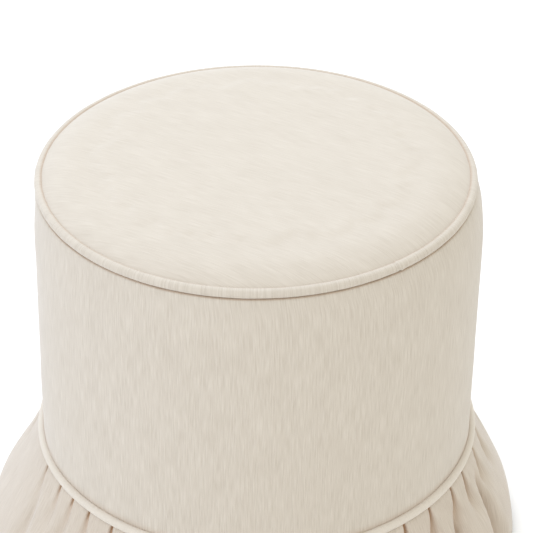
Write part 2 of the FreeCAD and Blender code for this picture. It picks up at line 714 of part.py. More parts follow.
def make_frame_screws():
    """One screw through each disc into each end of each post."""
    screws = []
    for index in range(int(size("post_count"))):
        x, y = on_circle(POST_CIRCLE, f"(Sizes.post_azimuth + {index} * 360 / Sizes.post_count)")
        for end, level, flipped in (("upper", TOP_BOARD_TOP, False), ("lower", BASE_BOTTOM, True)):
            screw = frame_screw(f"frame_screw_{end}_{index + 1}")
            place(screw, x, y, level, flipped=flipped)
            screws.append(screw)
    return group("frame_screws", screws)


def make_foot_screws():
    """One pan-head screw up through each foot into the base."""
    shank = "(Sizes.foot_screw_diameter / 2)"
    straight = "(Sizes.foot_screw_length - Sizes.screw_point)"
    head, head_height = "(Sizes.foot_screw_head / 2)", "Sizes.foot_screw_head_height"
    screws = []
    for index in range(int(size("foot_count"))):
        label = f"foot_screw_{index + 1}"
        screw = join(
            label,
            [
                new_cylinder(f"{label}_head", head, head_height, f"-{head_height}"),
                new_cylinder(f"{label}_shank", shank, straight),
                new_cone(f"{label}_point", shank, "0", "Sizes.screw_point", straight),
            ],
        )
        x, y = on_circle(FOOT_CIRCLE, f"({index} * 360 / Sizes.foot_count)")
        place(screw, x, y, "Sizes.foot_counterbore")
        screws.append(screw)
    return group("foot_screws", screws)


def write_parts(parts):
    """Check every object, then write one file for each piece."""
    failed = [item.Label for item in DOC.Objects if {"Invalid", "Error"} & set(item.State)]
    if failed:
        raise RuntimeError(f"not rebuilt: {failed}")
    for part in parts:
        if part.Shape.isNull() or not part.Shape.isValid():
            raise RuntimeError(f"no valid shape: {part.Label}")
    os.makedirs("parts", exist_ok=True)
    for part in parts:
        part.Shape.exportStep(f"parts/{part.Label}.step")


def main():
    parts = [
        make_base_board(),
        make_top_board(),
        *(make_frame_post(index) for index in range(int(size("post_count")))),
        make_frame_screws(),
        make_side_panel(),
        make_side_foam(),
        make_seat_foam(),
        make_seat_cover(),
        make_piping("top_piping", TOP_PIPING, TOP_SEAM),
        make_side_cover(),
        make_piping("lower_piping", LOWER_PIPING, "Sizes.skirt_line"),
        make_skirt_strip(0),
        make_skirt_strip(1),
        make_tack_strip(),
        make_dust_cover(),
        *(make_foot(index) for index in range(int(size("foot_count")))),
        make_foot_screws(),
    ]
    DOC.recompute()
    write_parts(parts)


main()
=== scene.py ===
# The looks of a round skirted pouf: velvet over a padded drum, dressed round its frame. Metres, +Z up.
import math

import bmesh
import bpy
import numpy as np
from mathutils import Matrix, Vector, noise


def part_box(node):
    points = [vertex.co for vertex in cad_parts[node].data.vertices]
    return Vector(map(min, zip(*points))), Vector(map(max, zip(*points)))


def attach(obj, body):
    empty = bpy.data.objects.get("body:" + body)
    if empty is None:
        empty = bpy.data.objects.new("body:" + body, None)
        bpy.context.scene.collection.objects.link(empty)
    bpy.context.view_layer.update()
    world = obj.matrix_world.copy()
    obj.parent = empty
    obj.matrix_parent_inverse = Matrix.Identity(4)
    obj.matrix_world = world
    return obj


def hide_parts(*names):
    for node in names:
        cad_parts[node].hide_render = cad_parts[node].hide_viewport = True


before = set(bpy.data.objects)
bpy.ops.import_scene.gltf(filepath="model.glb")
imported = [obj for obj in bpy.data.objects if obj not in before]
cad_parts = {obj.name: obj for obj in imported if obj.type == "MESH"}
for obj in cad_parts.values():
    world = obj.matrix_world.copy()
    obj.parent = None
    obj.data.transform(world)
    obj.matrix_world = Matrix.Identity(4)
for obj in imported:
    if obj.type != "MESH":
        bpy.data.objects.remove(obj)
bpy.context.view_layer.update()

bl_info = {
    "name": "Skirted Pouf",
    "version": (1, 0, 0),
    "blender": (4, 5, 0),
    "location": "View3D > Sidebar > Pouf",
    "description": "Dresses a pouf's frame in velvet, foam and wood, and sets up its studio",
    "category": "Object",
}

CLOTH_UV = "cloth"
# Name of the mesh attribute that marks painted shade in folds, slits and seams, from 0 to 1
SHADE_PAINT = "painted_shade"
X, Z = 0, 2


def span(node, axis):
    """Lowest and highest coordinate of a frame node along an axis."""
    low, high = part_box(node)
    return low[axis], high[axis]


# Places taken from the frame
PIPING = (span("top_piping", Z)[1] - span("top_piping", Z)[0]) / 2
TOP_SEAM = sum(span("top_piping", Z)) / 2
TOP_RING = span("top_piping", X)[1] - PIPING
LOWER_SEAM = sum(span("lower_piping", Z)) / 2
LOWER_RING = span("lower_piping", X)[1] - PIPING
SEAT_TUCK, SEAT_CROWN = span("seat_cover", Z)
SIDE = span("side_cover", X)[1]
SIDE_FOOT, SIDE_HEAD = span("side_cover", Z)
HEM, SKIRT_HEAD = span("skirt_strip_1", Z)
TACK_FACE = span("tack_strip", X)[1]
FOAM_FOOT, FOAM_HEAD = span("side_foam", Z)
FOAM_FACE = span("side_foam", X)[1]
PAD_EDGE = span("seat_foam", X)[1]
PAD_FOOT, PAD_CROWN = span("seat_foam", Z)
DUST_EDGE = span("dust_cover", X)[1]
DUST_LOW, DUST_HIGH = span("dust_cover", Z)

# Gathers on the skirt's two flanks: degrees from +X, the share of the full fold that is left at the hem,
# and how far the fold leans sideways on its way there
LEFT_GATHERS = (
    (-205.0, 1.0, 0.0),
    (-187.0, 0.0, 0.0),
    (-159.9, 0.25, 2.0),
    (-150.6, 0.0, 0.0),
    (-144.1, 0.3, -1.0),
    (-137.2, 0.0, 0.0),
    (-128.9, 0.55, -2.0),
)
RIGHT_GATHERS = (
    (-49.8, 0.0, 0.0),
    (-40.5, 0.8, -1.5),
    (-30.3, 0.9, -2.0),
    (-22.9, 0.0, 0.0),
    (-11.9, 1.0, -4.5),
    (-2.4, 0.0, 0.0),
    (10.0, 0.0, 0.0),
    (23.0, 1.0, 0.0),
)
# Which of five gathers run down to the hem, across the front and the back
LONG_FOLDS = (1.0, 1.0, 0.0, 1.0, 0.0)
FRONT_GATHERS = 9
BACK_GATHERS = 15
# How unevenly these gathers are spaced, as a share of a step, and how fast that changes in radians per gather
GATHER_SWAY = 0.22
SWAY_PACE = 2.4
# Columns of the skirt's mesh from one gather to the next, and how much closer they are at the gather
FOLD_COLUMNS = 25
FOLD_CROWDING = 0.75
# Rows of the skirt's face, and how much closer they are under the seam
FACE_ROWS = 36
ROW_CROWDING = 1.35
# Azimuths of the cords' joins and of the side's closing seam, in degrees from +X
TOP_JOIN = -52.3
LOWER_JOIN = 100.0
CLOSING_SEAM = 90.0
# Where the seat's velvet meets the top piping, in degrees round the piping's section from outwards
SEAT_MEETING = 114
# How far the seat's cloth is turned, so that its ribs run aslant, in degrees
SEAT_BIAS = -61
# The photograph's width and focal length in pixels, and its view below level in degrees
PICTURE_WIDTH = 533
FOCAL_LENGTH = 2300
VIEW_DOWN = 33.2247


def srgb(code):
    """Linear colour of an sRGB hex code."""
    shares = [int(code[place : place + 2], 16) / 255 for place in (0, 2, 4)]
    linear = [c / 12.92 if c <= 0.04045 else ((c + 0.055) / 1.055) ** 2.4 for c in shares]
    return (*linear, 1.0)


def length(name, description, default):
    """A length that a user may change."""
    return bpy.props.FloatProperty(
        name=name, description=description, default=default, min=0.0, precision=4, unit="LENGTH"
    )


def colour(name, description, code):
    """A colour that a user may change."""
    return bpy.props.FloatVectorProperty(
        name=name, description=description, default=srgb(code), size=4, min=0.0, max=1.0, subtype="COLOR"
    )


class PoufSizes(bpy.types.PropertyGroup):
    """Sizes of the pouf's soft pieces that the frame doesn't give."""

    velvet: length("Velvet", "Thickness of the velvet", 0.0016)
    rib: length("Rib", "Width of a streak in the velvet's ribs", 0.0011)
    shoulder: length("Shoulder", "Rounding of the seat's edge", 0.0585)
    rise: length("Rise", "Rise of the seat's shoulder above its seam", 0.0124)
    crown: length("Crown", "Rise of the seat inside its shoulder", 0.002)
    lip: length("Lip", "Height of the seat's sewn edge above the seam", 0.0015)
    draw_in: length("Draw-in", "How far the side is drawn in at the top", 0.006)
    draw_in_height: length("Draw-in height", "Height over which the side is drawn in", 0.0575)
    settle: length("Settle", "How far the side's padding has settled to the right", 0.0024)
    turn_under: length("Turn-under", "Velvet turned in under the base", 0.036)
    skirt_lip: length("Skirt lip", "How far the gathers stand out right under the seam", 0.002)
    skirt_reach: length("Skirt reach", "How far the skirt stands out further at its hem", 0.0435)
    strip_length: length("Skirt strip", "Length of the skirt's velvet before it is gathered", 2.2)
    strip_width: length("Skirt width", "Width of the skirt's velvet with its hem", 0.162)
    hem: length("Hem", "Depth of the skirt's turned-up hem", 0.018)
    staple: length("Staple", "Width of a staple", 0.01)
    staples: bpy.props.IntProperty(
        name="Staples", description="Staples round the sheet under the base", default=40, min=4
    )


class PoufColours(bpy.types.PropertyGroup):
    """Colours of the pouf's materials."""

    velvet: colour("Velvet", "Pile of the velvet, brushed up", "D2CABE")
    velvet_shade: colour("Velvet shade", "Pile of the velvet, brushed down", "C2B9AC")
    # Painted shade: a brown mixed into the velvet where folds, slits and seams lie in shade
    velvet_crease_shade: colour("Velvet tuck", "Pile crushed in the folds and seams", "A67C52")
    # Painted light: a paler copy of the velvet for the lower cord, standing in for light that falls on it
    velvet_lit_cord: colour("Velvet on the lower cord", "Pile that stands open over the lower cord", "D8D0C4")
    backing: colour("Backing", "Woven back of the velvet", "C4B9A6")
    foam: colour("Foam", "Polyurethane foam", "E4DAB8")
    foam_pore: colour("Foam pore", "Open cells of the foam", "C9BC93")
    plywood: colour("Plywood", "Birch face veneer", "CDA878")
    plywood_core: colour("Plywood core", "Darker plies and grain of the birch", "A47E50")
    pine: colour("Pine", "Planed pine", "D8B47E")
    pine_grain: colour("Pine grain", "Late wood of the pine", "B4864C")
    hardboard: colour("Hardboard", "Pressed hardboard", "7C5A3E")
    hardboard_fibre: colour("Hardboard fibre", "Dark fibres of the hardboard", "573B26")
    card: colour("Card", "Pressed card strip", "9E8D74")
    card_fibre: colour("Card fibre", "Dark fibres of the card", "7B6A52")
    sheet: colour("Sheet", "Non-woven sheet under the base", "242323")
    sheet_bond: colour("Sheet bond", "Pressed points of the sheet", "141313")
    feet: colour("Feet", "Dark stained beech", "46301F")
    feet_grain: colour("Feet grain", "Dark flecks of the beech", "2A1B11")
    steel: colour("Steel", "Zinc-plated steel", "C6C8C9")
    steel_dull: colour("Steel, dull", "Dull patches of the zinc", "A3A6A8")
    floor: colour("Floor", "Studio floor", "F9F8F7")


def sizes():
    """The sizes that a user may change."""
    return bpy.context.scene.pouf_sizes


def colours():
    """The colours that a user may change."""
    return bpy.context.scene.pouf_colours


# Materials


def add_node(tree, kind, inputs, **settings):
    """Add a shader node with its settings. An input is a value, or a socket to link."""
    node = tree.nodes.new(kind)
    for name, setting in settings.items():
        setattr(node, name, setting)
    for name, given in inputs.items():
        if isinstance(given, bpy.types.NodeSocket):
            tree.links.new(given, node.inputs[name])
        else:
            node.inputs[name].default_value = given
    return node


def new_material(name, **sockets):
    """A material with one Principled shader, and its constants set on the shader's own sockets."""
    material = bpy.data.materials.new(name)
    material.use_nodes = True
    tree = material.node_tree
    shader = next(node for node in tree.nodes if node.type == "BSDF_PRINCIPLED")
    for socket, setting in sockets.items():
        shader.inputs[socket.replace("_", " ")].default_value = setting
    return material, tree, shader


def finish_surface(tree, shader, share, first, second, depth, strength):
    """Mix two colours by a share from 0 to 1, and raise the surface by the same share over a real depth."""
    mix = add_node(tree, "ShaderNodeMix", {0: share, 6: first, 7: second}, data_type="RGBA")
    tree.links.new(mix.outputs[2], shader.inputs["Base Color"])
    bump = add_node(tree, "ShaderNodeBump", {"Height": share, "Distance": depth, "Strength": strength})
    tree.links.new(bump.outputs["Normal"], shader.inputs["Normal"])


def pile(name, tip, shade, streak):
    """Chenille velvet, woven: a short dense pile over fine ribs. It is matt and pale, with streaks along the
    ribs, soft patches where the pile was brushed, and a bloom of light where it is seen edge on."""
    if name in bpy.data.materials:
        return bpy.data.materials[name]
    material, tree, shader = new_material(
        name,
        Roughness=0.92,
        Specular_IOR_Level=0.15,
        Sheen_Weight=0.3,
        Sheen_Roughness=0.4,
        Sheen_Tint=srgb("FAFBFF"),
    )
    rib = sizes().rib
    streak_length = 20 * rib
    patch_width = 0.02
    patch_length = 0.05
    patchy = 0.25
    middle = (streak + patchy) / 2
    reach = 0.2
    cloth = add_node(tree, "ShaderNodeUVMap", {}, uv_map=CLOTH_UV).outputs["UV"]
    along = add_node(tree, "ShaderNodeMapping", {"Vector": cloth, "Scale": (1 / rib, 1 / streak_length, 1)})
    ribs = add_node(
        tree,
        "ShaderNodeTexNoise",
        {"Vector": along.outputs[0], "Scale": 1.0, "Detail": 1.0, "Roughness": 0.5},
    )
    brushed = add_node(
        tree, "ShaderNodeMapping", {"Vector": cloth, "Scale": (1 / patch_width, 1 / patch_length, 1)}
    )
    patches = add_node(
        tree,
        "ShaderNodeTexNoise",
        {"Vector": brushed.outputs[0], "Scale": 1.0, "Detail": 3.0, "Roughness": 0.55},
    )
    streaks = add_node(tree, "ShaderNodeMath", {0: ribs.outputs[0], 1: streak}, operation="MULTIPLY")
    grain = add_node(
        tree,
        "ShaderNodeMath",
        {0: patches.outputs[0], 1: patchy, 2: streaks.outputs[0]},
        operation="MULTIPLY_ADD",
    )
    spread = add_node(
        tree,
        "ShaderNodeMapRange",
        {"Value": grain.outputs[0], "From Min": middle - reach, "From Max": middle + reach},
    )
    # Painted shade: a brown mixed in where a piece marks its folds, slits and seams. Pieces without this
    # attribute get none, as it is then 0
    painted_shade = add_node(tree, "ShaderNodeAttribute", {}, attribute_name=SHADE_PAINT).outputs["Fac"]
    shaded = colours().velvet_crease_shade
    low = add_node(tree, "ShaderNodeMix", {0: painted_shade, 6: shade, 7: shaded}, data_type="RGBA")
    high = add_node(tree, "ShaderNodeMix", {0: painted_shade, 6: tip, 7: shaded}, data_type="RGBA")
    pile_height = 0.0003
    finish_surface(tree, shader, spread.outputs[0], low.outputs[2], high.outputs[2], pile_height, 0.8)
    return material


def velvet():
    """The velvet as it is woven, with its ribs upright."""
    return pile("chenille_velvet", colours().velvet, colours().velvet_shade, streak=0.75)


def lit_cord_velvet():
    """The velvet over the lower cord, painted paler than the rest: painted light that stands in for light
    falling on the lower cord.
    """
    return pile("corded_velvet", colours().velvet_lit_cord, colours().velvet, streak=0.75)


def seat_velvet():
    """The velvet brushed flat by sitters, so that its ribs show less."""
    return pile("brushed_velvet", colours().velvet, colours().velvet_shade, streak=0.42)


def backing():
    """Plain-woven polyester back of the velvet: matt, with a fine square weave."""
    if "woven_backing" in bpy.data.materials:
        return bpy.data.materials["woven_backing"]
    material, tree, shader = new_material("woven_backing", Roughness=0.95, Specular_IOR_Level=0.1)
    cloth = add_node(tree, "ShaderNodeUVMap", {}, uv_map=CLOTH_UV).outputs["UV"]
    # Real threads are about 0.4 mm wide. They are drawn three times as wide, so that they show.
    thread = 0.0012
    thread_height = 0.0002
    threads = add_node(tree, "ShaderNodeTexChecker", {"Vector": cloth, "Scale": 1 / thread})
    finish_surface(
        tree, shader, threads.outputs[1], colours().velvet_shade, colours().backing, thread_height, 0.3
    )
    return material


def solid(name, first, second, grain, depth, **sockets):
    """A material with one noise, stretched by the length of its grain along X, Y and Z in metres."""
    if name in bpy.data.materials:
        return bpy.data.materials[name]
    material, tree, shader = new_material(name, **sockets)
    where = add_node(tree, "ShaderNodeTexCoord", {}).outputs["Object"]
    run = add_node(tree, "ShaderNodeMapping", {"Vector": where, "Scale": [1 / size for size in grain]})
    mottle = add_node(tree, "ShaderNodeTexNoise", {"Vector": run.outputs[0], "Scale": 1.0, "Detail": 3.0})
    spread = add_node(
        tree, "ShaderNodeMapRange", {"Value": mottle.outputs[0], "From Min": 0.3, "From Max": 0.7}
    )
    finish_surface(tree, shader, spread.outputs[0], first, second, depth, 0.4)
    return material


def polyurethane_foam():
    """Cut polyurethane foam: cream, matt and full of open cells about 1 mm wide."""
    cell = (0.001, 0.001, 0.001)
    return solid("polyurethane_foam", colours().foam_pore, colours().foam, cell, 0.0006, Roughness=0.95)


def birch_plywood():
    """Rotary-cut birch plywood, sawn and left raw: long pale figure on the faces."""
    grain = (0.12, 0.006, 0.0015)
    return solid("birch_plywood", colours().plywood_core, colours().plywood, grain, 0.0002, Roughness=0.6)


def pine():
    """Planed pine: straight grain along the posts, with darker late wood."""
    grain = (0.005, 0.005, 0.15)
    return solid("planed_pine", colours().pine_grain, colours().pine, grain, 0.0002, Roughness=0.55)


def hardboard():
    """Pressed hardboard: brown, smooth and faintly flecked with fibres."""
    fibre = (0.002, 0.002, 0.002)
    return solid(
        "pressed_hardboard", colours().hardboard_fibre, colours().hardboard, fibre, 0.0001, Roughness=0.5
    )


def card():
    """Pressed card: grey-brown, matt and fibrous."""
    fibre = (0.003, 0.003, 0.001)
    return solid("pressed_card", colours().card_fibre, colours().card, fibre, 0.0001, Roughness=0.85)


def stained_beech():
    """Beech, sanded, stained dark and lacquered: short flecks along the grain under a soft gloss."""
    fleck = (0.0015, 0.0015, 0.02)
    return solid("stained_beech", colours().feet_grain, colours().feet, fleck, 0.0001, Roughness=0.4)


def zinc_steel():
    """Zinc-plated steel: bright grey metal with dull patches."""
    patch = (0.002, 0.002, 0.002)
    return solid(
        "zinc_steel", colours().steel_dull, colours().steel, patch, 0.00005, Metallic=1.0, Roughness=0.38
    )


def non_woven():
    """Spunbond polypropylene sheet, pressed at points about 2 mm apart: black, thin and dull."""
    bond = (0.0016, 0.0016, 0.01)
    return solid("spunbond_sheet", colours().sheet_bond, colours().sheet, bond, 0.0002, Roughness=0.8)


# Pieces


def add_piece(name, shape, materials, replaces=()):
    """Make an object from a bmesh, and tie it to the frame."""
    mesh = bpy.data.meshes.new(name)
    shape.to_mesh(mesh)
    shape.free()
    mesh.shade_smooth()
    for material in materials:
        mesh.materials.append(material)
    piece = bpy.data.objects.new(name, mesh)
    bpy.context.scene.collection.objects.link(piece)
    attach(piece, "root")
    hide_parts(*replaces)
    return piece


def thicken(piece, thickness, inner_material=0):
    """Give a sheet its thickness, inwards from its face."""
    wall = piece.modifiers.new("thickness", "SOLIDIFY")
    wall.thickness = thickness
    wall.offset = -1.0
    wall.use_even_offset = True
    wall.material_offset = inner_material


def refine(piece, levels):
    """Round a piece by subdivision."""
    finer = piece.modifiers.new("refine", "SUBSURF")
    finer.levels = levels
    finer.render_levels = levels


def bake(piece):
    """Apply a piece's modifiers to its mesh."""
    mesh = bpy.data.meshes.new_from_object(piece.evaluated_get(bpy.context.evaluated_depsgraph_get()))
    piece.modifiers.clear()
    piece.data = mesh


def arc(centre, radius, start, end, steps):
    """Points (radius, height) along an arc, from one angle to another, degrees from outwards."""
    turns = [math.radians(start + (end - start) * step / steps) for step in range(steps + 1)]
    return [(centre[0] + radius * math.cos(turn), centre[1] + radius * math.sin(turn)) for turn in turns]


def run(start, end, steps):
    """Points (radius, height) along a straight line, without its end."""
    shares = [step / steps for step in range(steps)]
    return [(start[0] + (end[0] - start[0]) * s, start[1] + (end[1] - start[1]) * s) for s in shares]


def turned(outline, steps, closed=False):
    """A bmesh turned about Z from an outline of (radius, height)."""
    shape = bmesh.new()
    points = [shape.verts.new((radius, 0.0, height)) for radius, height in outline]
    ends = points[1:] + points[:1] if closed else points[1:]
    edges = [shape.edges.new(pair) for pair in zip(points, ends)]
    bmesh.ops.spin(
        shape,
        geom=points + edges,
        cent=(0, 0, 0),
        axis=(0, 0, 1),
        angle=math.tau,
        steps=steps,
        use_merge=True,
    )
    bmesh.ops.remove_doubles(shape, verts=shape.verts, dist=1e-6)
    bmesh.ops.recalc_face_normals(shape, faces=shape.faces)
    return shape


def crowd(shape, azimuth, pull):
    """Draw the columns of a turned shape together at one azimuth, so that a seam there has fine edges."""
    seam = math.radians(azimuth)
    for vertex in shape.verts:
        away = math.atan2(vertex.co.y, vertex.co.x) - seam
        turn = Matrix.Rotation(-pull * math.sin(away), 3, "Z")
        vertex.co = turn @ vertex.co


def from_azimuth(point, azimuth):
    """Angle of a point from an azimuth in degrees, from -pi to pi."""
    away = math.atan2(point.y, point.x) - math.radians(azimuth)
    return (away + math.pi) % math.tau - math.pi


def wrap_uv(shape, across, up):
    """A cloth map in metres for a shape round the Z axis: across is the length of a turn, and up gives a
    point's height on the cloth."""
    layer = shape.loops.layers.uv.new(CLOTH_UV)
    for face in shape.faces:
        shares = [math.atan2(loop.vert.co.y, loop.vert.co.x) / math.tau % 1.0 for loop in face.loops]
        joint = max(shares) - min(shares) > 0.5
        for loop, share in zip(face.loops, shares):
            share += 1.0 if joint and share < 0.5 else 0.0
            loop[layer].uv = (share * across, up(loop.vert.co))


def waver(point, grain, seed):
    """A smooth random number from -1 to 1 at a point."""
    return noise.noise(Vector(point) / grain + Vector((seed, 0.0, 0.0)))


def ease(share):
    """A smooth step from 0 to 1."""
    share = min(1.0, max(0.0, share))
    return share * share * (3 - 2 * share)


def bell(far, width):
    """A smooth bump of height 1 that falls off over a width."""
    return math.exp(-((far / width) ** 2))


# Seat


def seat_outline(under):
    """The seat's face from its middle to its tucked edge, lying under the velvet's face by a thickness."""
    meeting = arc((TOP_RING, TOP_SEAM), PIPING, SEAT_MEETING, SEAT_MEETING, 1)[0]
    height = meeting[1] + sizes().rise - sizes().shoulder
    middle = meeting[0] - math.sqrt(sizes().shoulder ** 2 - (meeting[1] - height) ** 2)
    shoulder = sizes().shoulder - under
    slope = math.degrees(math.asin((TOP_SEAM + sizes().lip - height) / sizes().shoulder))
    shares = [step / 10 for step in range(10)]
    crown = [(middle * share, height + shoulder + sizes().crown * (1 - share**2)) for share in shares]
    return crown + arc((middle, height), shoulder, 90, slope, 12)


def swell(piece, held, cap):
    """Let a piece swell under air pressure with some points held. A point moves outwards only, by a cap at
    most."""
    frames = 20
    pressure = 4.0
    scene = bpy.context.scene
    sewn = piece.vertex_groups.new(name="sewn")
    sewn.add(held, 1.0, "REPLACE")
    cloth = piece.modifiers.new("swell", "CLOTH")
    cloth.settings.use_pressure = True
    cloth.settings.uniform_pressure_force = pressure
    cloth.settings.vertex_group_mass = sewn.name
    cloth.settings.effector_weights.gravity = 0.0
    cloth.point_cache.frame_end = frames
    for number in range(1, frames + 1):
        scene.frame_set(number)
    swollen = piece.evaluated_get(bpy.context.evaluated_depsgraph_get()).to_mesh()
    places = [vertex.co.copy() for vertex in swollen.vertices]
    piece.modifiers.remove(cloth)
    piece.vertex_groups.remove(sewn)
    scene.frame_set(1)
    outwards = [vertex.normal.copy() for vertex in piece.data.vertices]
    for vertex, place, out in zip(piece.data.vertices, places, outwards):
        vertex.co += out * min(cap, max(0.0, (place - vertex.co).dot(out)))


def make_seat():
    """The seat's velvet panel, swollen over its pad, and the foam pad under it."""
    slack = 0.0008
    tuck_in = 0.001
    face = seat_outline(slack)
    outline = face + [(face[-1][0] - tuck_in, SEAT_TUCK), (0.0, SEAT_TUCK)]
    seat = add_piece("seat_panel", turned(outline, 160), [seat_velvet()], ["seat_cover"])
    even = seat.modifiers.new("even", "REMESH")
    even.mode = "VOXEL"
    even.voxel_size = 0.004
    bake(seat)
    margin = 0.003
    sewn = TOP_SEAM + sizes().lip + margin
    held = [vertex.index for vertex in seat.data.vertices if vertex.co.z < sewn]
    swell(seat, held, cap=2 * slack)
    shape = bmesh.new()
    shape.from_mesh(seat.data)
    bmesh.ops.bisect_plane(
        shape,
        geom=[*shape.verts, *shape.edges, *shape.faces],
        plane_co=(0, 0, SEAT_TUCK + tuck_in),
        plane_no=(0, 0, -1),
        clear_outer=True,
    )
    layer = shape.loops.layers.uv.new(CLOTH_UV)
    bias = Matrix.Rotation(math.radians(SEAT_BIAS), 2)
    for face in shape.faces:
        for loop in face.loops:
            loop[layer].uv = bias @ loop.vert.co.xy
    shape.to_mesh(seat.data)
    shape.free()
    seat.data.shade_smooth()
    refine(seat, 1)
    thicken(seat, sizes().velvet)

    gap = 0.0006
    face = seat_outline(SEAT_CROWN - PAD_CROWN + gap)
    outline = [(0.0, PAD_FOOT), (PAD_EDGE, PAD_FOOT), (PAD_EDGE, TOP_SEAM - 2 * PIPING)]
    pad = add_piece(
        "seat_pad", turned(outline + face[-3::-1], 96), [polyurethane_foam()], ["seat_foam"]
    )


# Side


def cord_bed(face, radius, steps):
    """The hollow that the lower piping presses into an upright face, from below to above."""
    lean = math.degrees(math.acos((face - LOWER_RING) / radius))
    return arc((LOWER_RING, LOWER_SEAM), radius, 360 - lean, lean, steps)


def side_outline():
    """The side's face from its turned-under edge to its seam under the top piping."""
    depth, rise = sizes().draw_in, sizes().draw_in_height
    radius = (rise**2 + depth**2) / (2 * depth)
    start = SIDE_HEAD - rise
    sweep = math.degrees(math.asin(rise / radius))
    foot = 0.004
    brink = 0.001
    press = 0.0003
    bed = cord_bed(SIDE, PIPING - press, 14)
    # The edge under the top piping: how far inwards and down each point lies
    turned_in = ((0.0002, 0.0014), (0.0012, 0.0004), (0.0028, 0.0), (0.006, 0.0))
    return [
        *run((SIDE - sizes().turn_under, SIDE_FOOT), (SIDE - foot, SIDE_FOOT), 8),
        *arc((SIDE - foot, SIDE_FOOT + foot), foot, -90, 0, 5)[:-1],
        *run((SIDE, SIDE_FOOT + foot), (SIDE, bed[0][1] - brink), 14),
        (SIDE, bed[0][1] - brink),
        *bed,
        *run((SIDE, bed[-1][1] + brink), (SIDE, start), 30),
        *arc((SIDE - radius, start), radius, 0, 0.95 * sweep, 10),
        *[(SIDE - depth - inward, SIDE_HEAD - down) for inward, down in turned_in],
    ]


def settled(point, inner=0.0):
    """Move a point of the padded side as its padding has settled: to the right, and most below the top seam.
    Points nearer to the axis than inner stay."""
    foot = 0.15
    climb = 0.2
    fade = 0.02
    share = ease((point.z - foot) / climb) * (1 - ease((point.z - SIDE_HEAD + fade) / fade))
    if math.hypot(point.x, point.y) > inner:
        point.x += sizes().settle * share


def make_side():
    """The velvet side, stretched over thin foam and turned under the base, and the foam."""
    shape = turned(side_outline(), 384)
    crowd(shape, CLOSING_SEAM, 0.8)
    around = math.tau * SIDE
    wrap_uv(shape, around, lambda point: point.z)
    shaded = shape.verts.layers.float.new(SHADE_PAINT)
    # Painted shade: thin brown lines beside the lower cord and under the top one, where shade falls between
    # the parts
    cord_line = 0.0015
    head_line = 0.001
    head_start = SIDE_HEAD - 0.0014
    seam_width = 0.0014
    seam_depth = 0.0009
    unevenness = 0.0004
    for vertex in shape.verts:
        by_cord = ease(1 - (abs(vertex.co.z - LOWER_SEAM) - PIPING) / cord_line)
        by_head = ease((vertex.co.z - head_start) / head_line)
        vertex[shaded] = max(0.2 * by_cord, 0.4 * by_head)
        out = Vector((vertex.co.x, vertex.co.y, 0.0)).normalized()
        seam = bell(from_azimuth(vertex.co, CLOSING_SEAM) * SIDE, seam_width)
        vertex.co += out * (unevenness * waver(vertex.co, 0.05, 3.0) - seam_depth * seam)
        settled(vertex.co)
    side = add_piece("side_velvet", shape, [velvet()], ["side_cover"])
    thicken(side, sizes().velvet)

    # The foam keeps a little air to the pad, to the velvet and round the cord's bed
    inner = PAD_EDGE + 0.0002
    face = FOAM_FACE - 0.0006
    bed_gap = 0.0012
    above_cord = LOWER_SEAM + 0.03
    outline = [
        (inner, FOAM_FOOT),
        (face, FOAM_FOOT),
        *cord_bed(face, PIPING + sizes().velvet + bed_gap, 8),
        *run((face, above_cord), (face, SIDE_HEAD - sizes().draw_in_height), 8),
        (face, SIDE_HEAD - sizes().draw_in_height),
        (face - sizes().draw_in, FOAM_HEAD),
        (inner, FOAM_HEAD),
    ]
    shape = turned(outline, 128, closed=True)
    for vertex in shape.verts:
        settled(vertex.co, inner + 0.001)
    wrap = add_piece("side_wrap", shape, [polyurethane_foam()], ["side_foam"])


# Pipings


def make_piping(name, ring, seam, join, material, replaces):
    """A cord in a bias-cut sleeve of velvet, whose ends are joined on a slant at one azimuth."""
    shape = turned(arc((ring, seam), PIPING, 0, 345, 23), 600, closed=True)
    crowd(shape, join, 0.75)
    wrap_uv(shape, math.tau * ring, lambda point: point.z)
    shaded = shape.verts.layers.float.new(SHADE_PAINT)
    lap_height = 0.0005
    lap_width = 0.0022
    nick_depth = 0.0007
    nick_width = 0.0007
    unevenness = 0.00015
    for vertex in shape.verts:
        azimuth = math.atan2(vertex.co.y, vertex.co.x)
        middle = Vector((math.cos(azimuth) * ring, math.sin(azimuth) * ring, seam))
        out = (vertex.co - middle).normalized()
        inward = -out.xy.dot(middle.xy) / ring
        # Painted shade on the cord's inner side and right under it, where shade falls between the cord and
        # the velvet beside it
        vertex[shaded] = 0.33 * max(ease((inward - 0.15) / 0.25), ease((-out.z - 0.8) / 0.2))
        slant = from_azimuth(vertex.co, join) * ring + 0.5 * (vertex.co.z - seam)
        overlap = lap_height * bell(slant - lap_width, lap_width) - nick_depth * bell(slant, nick_width)
        vertex.co += out * (unevenness * waver(vertex.co, 0.012, 9.0) + overlap)
    return add_piece(name, shape, [material], [replaces])


# Skirt


def gathers():
    """Where the skirt is gathered, as shares of a turn, the share of each fold that is left at the hem, and
    how far the fold leans."""

    def between(start, end, count):
        step = (end - start) / count
        found = []
        for number in range(1, count):
            sway = GATHER_SWAY * math.sin(SWAY_PACE * number)
            lean = GATHER_SWAY * math.cos(SWAY_PACE * number)
            share = LONG_FOLDS[number % len(LONG_FOLDS)] * (1 - abs(sway))
            found.append((start + step * (number + sway), share, step * lean))
        return found

    front = between(LEFT_GATHERS[-1][0], RIGHT_GATHERS[0][0], FRONT_GATHERS)
    back = between(RIGHT_GATHERS[-1][0], LEFT_GATHERS[0][0] + 360, BACK_GATHERS)
    turns, shares, leans = np.array((*LEFT_GATHERS, *front, *RIGHT_GATHERS, *back)).T
    return turns / 360, shares, leans / 360


